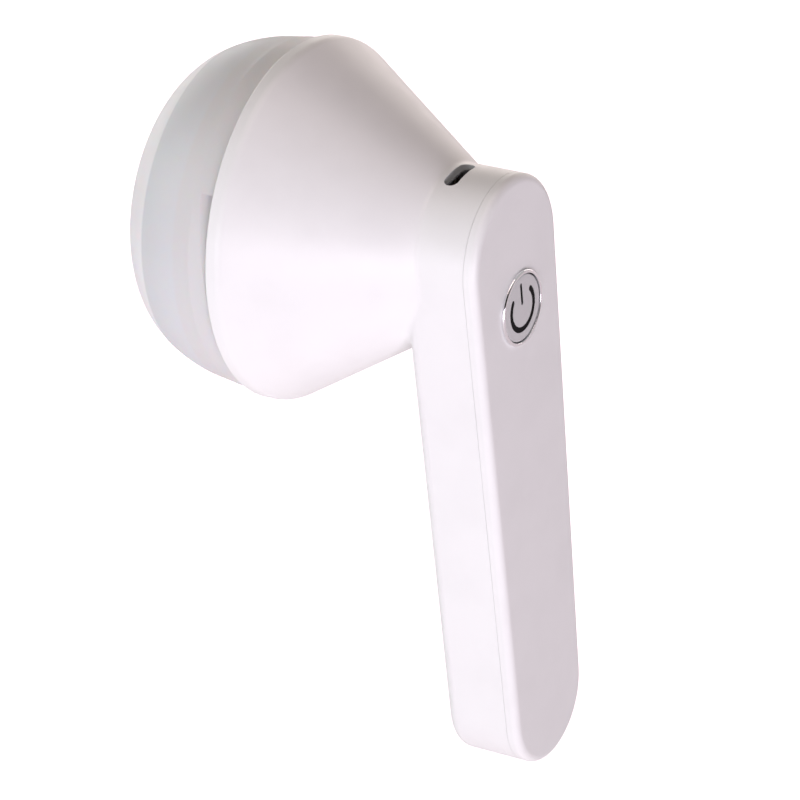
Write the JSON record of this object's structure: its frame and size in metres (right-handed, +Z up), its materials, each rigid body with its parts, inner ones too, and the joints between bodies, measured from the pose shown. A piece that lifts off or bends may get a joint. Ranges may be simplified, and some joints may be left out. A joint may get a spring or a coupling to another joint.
{
  "type": "massage gun",
  "caption": "Hand-held vibrating massager: wide cone head with a frosted push-on dome, flat round-ended handle, power button on the back, charging slot on top.",
  "frame": {"origin": "centre of the dome's flat massage face", "axes": "+X from the massage face back towards the handle's button side, +Z up with the handle hanging down, +Y completes the right hand"},
  "size_m": [0.0737, 0.0724, 0.151],
  "materials": {
    "shell_white": "satin-gloss moulded, faint fine texture",
    "dome_frosted": "frosted translucent",
    "ring_chrome": "polished",
    "button_silver": "silver satin paint",
    "symbol_black": "gloss black",
    "switch_black": "moulded",
    "plunger_tan": "moulded",
    "board_green": "solder mask",
    "board_white": "white solder mask",
    "chip_black": "moulded epoxy",
    "usb_steel": "plated",
    "tongue_black": "moulded",
    "connector_white": "moulded nylon",
    "screw_steel": "zinc plated",
    "spring_steel": "bright wire",
    "battery_foil": "pouch foil",
    "foam_grey": "closed-cell foam",
    "wire_red": "insulation",
    "wire_black": "insulation",
    "carriage_white": "glass-filled nylon",
    "bush_ivory": "acetal",
    "seal_grey": "silicone",
    "led_yellow": "phosphor",
    "motor_steel": "nickel plated",
    "endcap_black": "moulded",
    "bearing_bronze": "sintered",
    "magnet_grey": "ferrite",
    "terminal_brass": "plated",
    "core_steel": "laminated",
    "winding_copper": "enamelled wire",
    "weight_steel": "sintered tungsten-iron"
  },
  "bodies": {
    "root": {"body_shell": "shell_white", "back_cover": "shell_white", "cover_screws": "screw_steel", "button_ring": "ring_chrome", "switch_body": "switch_black", "main_board": "board_green", "board_components": "chip_black", "board_screws": "screw_steel", "usb_shell": "usb_steel", "usb_tongue": "tongue_black", "motor_connector": "connector_white", "battery_connector": "connector_white", "battery_cell": "battery_foil", "battery_circuit": "board_green", "battery_pads": "foam_grey", "battery_lead_red": "wire_red", "battery_lead_black": "wire_black", "guide_bolts": "screw_steel", "bolt_washers": "screw_steel", "front_springs": "spring_steel", "rear_springs": "spring_steel"},
    "carriage": {"carriage": "carriage_white", "slide_bushes": "bush_ivory", "dome_seal": "seal_grey", "light_board": "board_white", "light_leds": "led_yellow", "light_board_screws": "screw_steel", "light_leads": "wire_black", "motor_can": "motor_steel", "motor_endcap": "endcap_black", "motor_bearings": "bearing_bronze", "motor_magnets": "magnet_grey", "motor_brushes": "terminal_brass", "motor_terminals": "terminal_brass", "motor_strap": "motor_steel", "strap_screws": "screw_steel", "motor_lead_red": "wire_red", "motor_lead_black": "wire_black"},
    "rotor": {"motor_shaft": "motor_steel", "armature_core": "core_steel", "armature_windings": "winding_copper", "commutator": "terminal_brass", "eccentric_weights": "weight_steel"},
    "dome": {"massage_dome": "dome_frosted"},
    "button": {"power_button": "button_silver", "button_symbol": "symbol_black", "switch_plunger": "plunger_tan"}
  },
  "joints": [
    {"name": "head_stroke", "type": "slide", "parent": "root", "child": "carriage", "axis": [-1, 0, 0], "range_m": [-0.0012, 0.0012], "stiffness_N_per_m": 2000, "deforming": ["front_springs", "rear_springs", "motor_lead_red", "motor_lead_black", "light_leads"]},
    {"name": "rotor_spin", "type": "hinge", "parent": "carriage", "child": "rotor", "pos_m": [0.039, 0, 0], "axis": [0, 1, 0], "continuous": true},
    {"name": "dome_removal", "type": "slide", "parent": "carriage", "child": "dome", "axis": [-1, 0, 0], "range_m": [0, 0.03]},
    {"name": "button_press", "type": "slide", "parent": "root", "child": "button", "axis": [-1, 0, 0], "range_m": [0, 0.0005], "stiffness_N_per_m": 2000}
  ]
}
